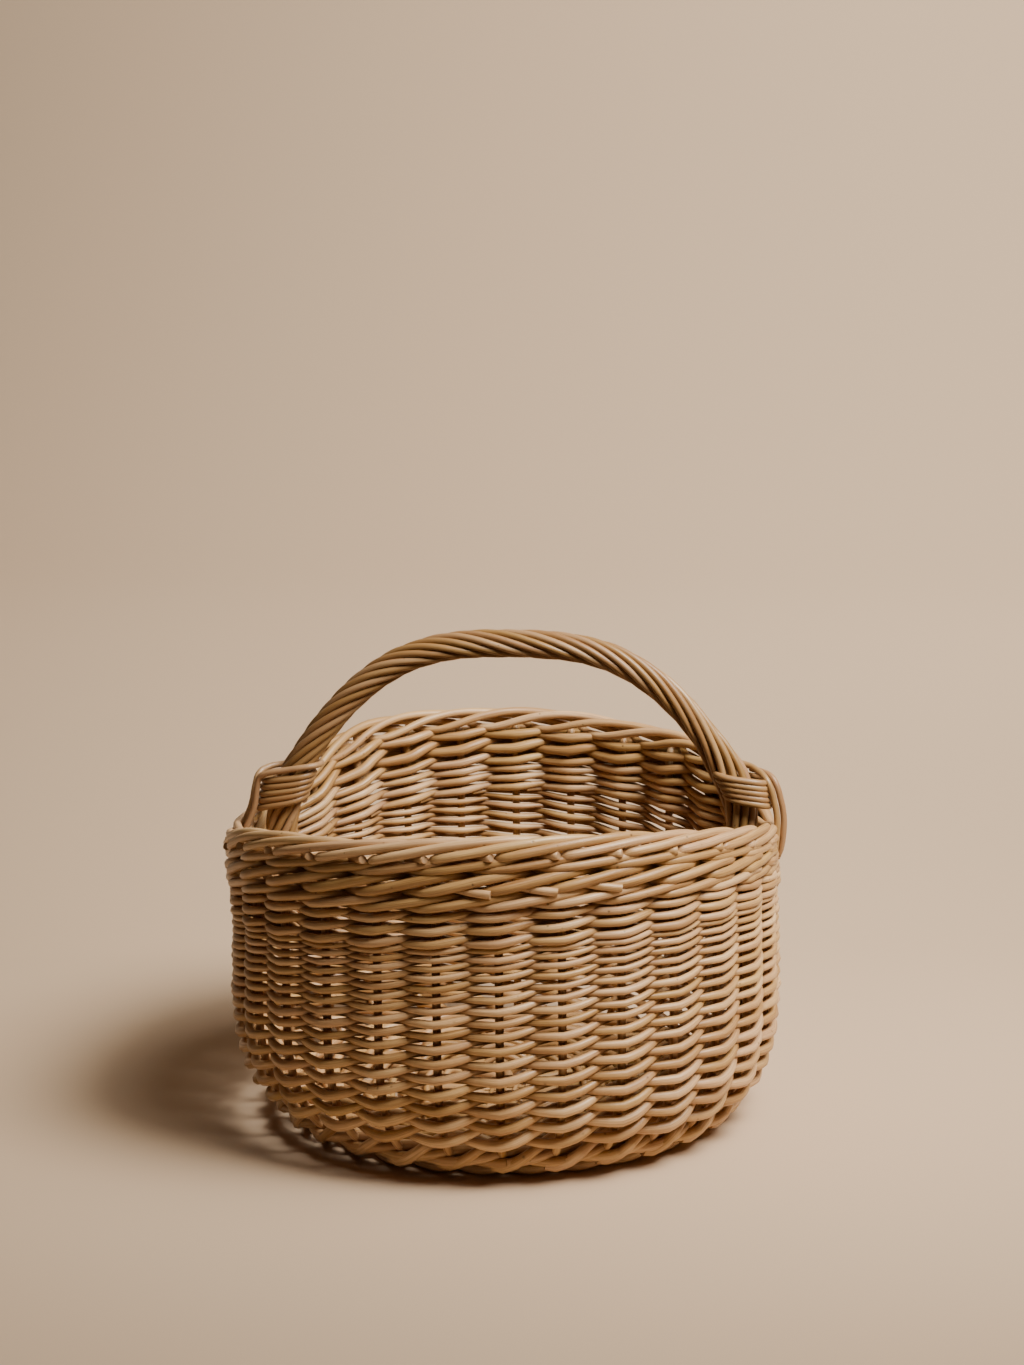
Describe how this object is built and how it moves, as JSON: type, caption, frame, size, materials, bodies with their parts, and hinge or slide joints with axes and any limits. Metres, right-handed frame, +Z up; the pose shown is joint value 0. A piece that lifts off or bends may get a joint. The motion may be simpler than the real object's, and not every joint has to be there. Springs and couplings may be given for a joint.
{
  "type": "apple picking basket",
  "caption": "Round woven willow basket with a dipped rod border, a roped bow handle over the top and wrapped bindings, for picking and carrying apples.",
  "frame": {"origin": "middle of the basket's base on the ground", "axes": "+Z up; the bow handle stands in the XZ plane with one foot at +X and one at -X; the front faces -Y"},
  "size_m": [0.4134, 0.4018, 0.3628],
  "materials": {
    "peeled_willow": "smooth peeled rods, semi gloss",
    "stake_willow": "thicker peeled rods, semi gloss",
    "handle_willow": "peeled rods polished by handling",
    "base_willow": "thick rods, matt and dusty"
  },
  "bodies": {
    "root": {"base_stick_slit_1": "base_willow", "base_stick_slit_2": "base_willow", "base_stick_slit_3": "base_willow", "base_stick_slit_4": "base_willow", "base_stick_piercing_1": "base_willow", "base_stick_piercing_2": "base_willow", "base_stick_piercing_3": "base_willow", "base_weaver_1": "base_willow", "base_weaver_2": "base_willow", "stake_01": "stake_willow", "stake_02": "stake_willow", "stake_03": "stake_willow", "stake_04": "stake_willow", "stake_05": "stake_willow", "stake_06": "stake_willow", "stake_07": "stake_willow", "stake_08": "stake_willow", "stake_09": "stake_willow", "stake_10": "stake_willow", "stake_11": "stake_willow", "stake_12": "stake_willow", "stake_13": "stake_willow", "stake_14": "stake_willow", "stake_15": "stake_willow", "stake_16": "stake_willow", "stake_17": "stake_willow", "stake_18": "stake_willow", "stake_19": "stake_willow", "stake_20": "stake_willow", "stake_21": "stake_willow", "stake_22": "stake_willow", "stake_23": "stake_willow", "stake_24": "stake_willow", "stake_25": "stake_willow", "stake_26": "stake_willow", "stake_27": "stake_willow", "stake_28": "stake_willow", "side_weave": "peeled_willow", "top_wale": "stake_willow", "handle_bow": "handle_willow", "rope_rod_1": "handle_willow", "rope_rod_2": "handle_willow", "rope_rod_3": "handle_willow", "rope_rod_4": "handle_willow", "rope_rod_5": "handle_willow", "rope_rod_6": "handle_willow", "rope_rod_7": "handle_willow", "rope_rod_8": "handle_willow", "rope_rod_9": "handle_willow", "ear_left_front": "handle_willow", "ear_left_back": "handle_willow", "ear_right_front": "handle_willow", "ear_right_back": "handle_willow", "binding_left": "handle_willow", "binding_right": "handle_willow"}
  },
  "joints": []
}
